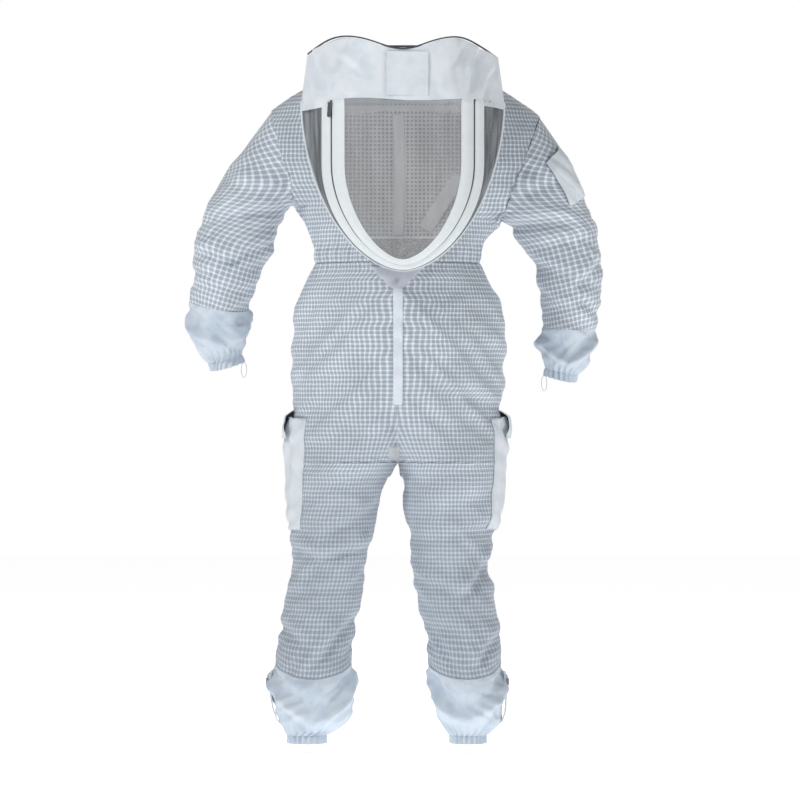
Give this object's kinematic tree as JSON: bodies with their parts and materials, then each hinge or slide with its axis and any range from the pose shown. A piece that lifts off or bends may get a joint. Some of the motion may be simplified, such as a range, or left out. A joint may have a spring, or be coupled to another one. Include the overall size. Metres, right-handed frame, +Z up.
{
  "type": "beekeeping suit",
  "caption": "Full-length ventilated beekeeping suit with gathered cuffs, cargo pockets and a zipped fencing hood that hangs down the back.",
  "frame": {"origin": "middle of the neck opening, level with the neckline at the wearer's back", "axes": "+Z up along the suit, +Y towards the wearer's front, +X towards the wearer's right"},
  "size_m": [0.8764, 0.4401, 1.4598],
  "materials": {
    "air_mesh": "ventilated three-layer mesh, matt",
    "cotton": "plain cotton, matt",
    "tape": "woven tape, matt",
    "dark_mesh": "open dark mesh, matt",
    "grey_mesh": "open dark mesh and heather grey cloth, matt",
    "dark_teeth": "moulded coil, satin",
    "white_teeth": "moulded teeth, satin",
    "zip_metal": "cast metal, satin"
  },
  "bodies": {
    "suit": {"upper_back": "air_mesh", "chest_left": "air_mesh", "chest_right": "air_mesh", "waist_elastic": "cotton", "trouser_back_left": "air_mesh", "trouser_front_left": "air_mesh", "trouser_back_right": "air_mesh", "trouser_front_right": "air_mesh", "ankle_cuff_left": "cotton", "ankle_elastic_left": "tape", "ankle_cuff_right": "cotton", "ankle_elastic_right": "tape", "sleeve_left": "air_mesh", "wrist_cuff_left": "cotton", "wrist_elastic_left": "tape", "sleeve_right": "air_mesh", "wrist_cuff_right": "cotton", "wrist_elastic_right": "tape", "collar_stand": "cotton", "neck_zip_collar_half": "dark_teeth", "hanger_loop": "tape", "seat_seam_tape": "tape", "front_zip_tape_left": "tape", "front_zip_tape_right": "tape", "front_zip_teeth": "white_teeth", "thigh_pocket_left": "cotton", "thigh_pocket_right": "cotton", "chest_pocket": "cotton", "sleeve_tool_pocket": "cotton", "ankle_zip_tape_left": "tape", "ankle_zip_teeth_left": "white_teeth", "ankle_zip_tape_right": "tape", "ankle_zip_teeth_right": "white_teeth"},
    "hood": {"veil_zip_outer_tape": "tape", "veil_zip_coil": "dark_teeth", "veil_zip_inner_tape": "tape", "face_mesh": "grey_mesh", "veil_side_mesh_left": "dark_mesh", "veil_side_mesh_right": "dark_mesh", "veil_rim_piping": "tape", "hood_front_band": "cotton", "neck_zip_hood_half": "dark_teeth", "hood_rear_band": "cotton", "hood_back_panel": "air_mesh", "hood_crown": "grey_mesh", "flap_hook_patch": "tape", "head_strap": "tape"},
    "neck_flap": {"neck_flap": "cotton"},
    "veil_slider": {"veil_zip_slider": "zip_metal"},
    "veil_pull": {"veil_zip_pull": "zip_metal"},
    "front_slider": {"front_zip_slider": "zip_metal"},
    "front_pull": {"front_zip_pull": "zip_metal"},
    "thigh_flap_left": {"thigh_pocket_flap_left": "cotton"},
    "thigh_flap_right": {"thigh_pocket_flap_right": "cotton"},
    "chest_flap": {"chest_pocket_flap": "cotton"},
    "thumb_loop_left": {"thumb_loop_left": "tape"},
    "thumb_loop_right": {"thumb_loop_right": "tape"},
    "ankle_slider_left": {"ankle_zip_left_slider": "zip_metal"},
    "ankle_slider_right": {"ankle_zip_right_slider": "zip_metal"}
  },
  "joints": [
    {"name": "hood_fold", "type": "hinge", "parent": "suit", "child": "hood", "pos_m": [0.01, -0.0679, 0.014], "axis": [-1, 0, 0], "range_deg": [0, 165]},
    {"name": "neck_flap_peel", "type": "hinge", "parent": "hood", "child": "neck_flap", "pos_m": [0.061, -0.2963, -0.065], "axis": [0, 0, 1], "range_deg": [0, 150]},
    {"name": "veil_zip_slide", "type": "slide", "parent": "hood", "child": "veil_slider", "axis": [0, 0, -1], "range_m": [0, 0.1]},
    {"name": "veil_pull_swing", "type": "hinge", "parent": "veil_slider", "child": "veil_pull", "pos_m": [-0.1397, -0.2587, -0.1242], "axis": [-0.7682, 0.6402, 0], "range_deg": [0, 140]},
    {"name": "front_zip_slide", "type": "slide", "parent": "suit", "child": "front_slider", "axis": [0, 0, -1], "range_m": [0, 0.66]},
    {"name": "front_pull_swing", "type": "hinge", "parent": "front_slider", "child": "front_pull", "pos_m": [0, 0.118, -0.0894], "axis": [1, 0, 0], "range_deg": [0, 140]},
    {"name": "thigh_flap_left_lift", "type": "hinge", "parent": "suit", "child": "thigh_flap_left", "pos_m": [-0.2163, 0.0362, -0.738], "axis": [0.423, 0.9061, 0], "range_deg": [0, 120]},
    {"name": "thigh_flap_right_lift", "type": "hinge", "parent": "suit", "child": "thigh_flap_right", "pos_m": [0.2088, 0.0362, -0.738], "axis": [0.423, -0.9061, 0], "range_deg": [0, 120]},
    {"name": "chest_flap_lift", "type": "hinge", "parent": "suit", "child": "chest_flap", "pos_m": [-0.1401, 0.0789, -0.1478], "axis": [0.9344, -0.1621, 0.3171], "range_deg": [0, 110]},
    {"name": "thumb_loop_left_swing", "type": "hinge", "parent": "suit", "child": "thumb_loop_left", "pos_m": [-0.3267, 0.07, -0.6419], "axis": [0, -1, 0], "range_deg": [0, 70]},
    {"name": "thumb_loop_right_swing", "type": "hinge", "parent": "suit", "child": "thumb_loop_right", "pos_m": [0.31, 0.07, -0.6701], "axis": [0, 1, 0], "range_deg": [0, 70]},
    {"name": "ankle_zip_left_slide", "type": "slide", "parent": "suit", "child": "ankle_slider_left", "axis": [0.04, 0, -0.9992], "range_m": [0, 0.05]},
    {"name": "ankle_zip_right_slide", "type": "slide", "parent": "suit", "child": "ankle_slider_right", "axis": [0, 0, -1], "range_m": [0, 0.05]}
  ]
}
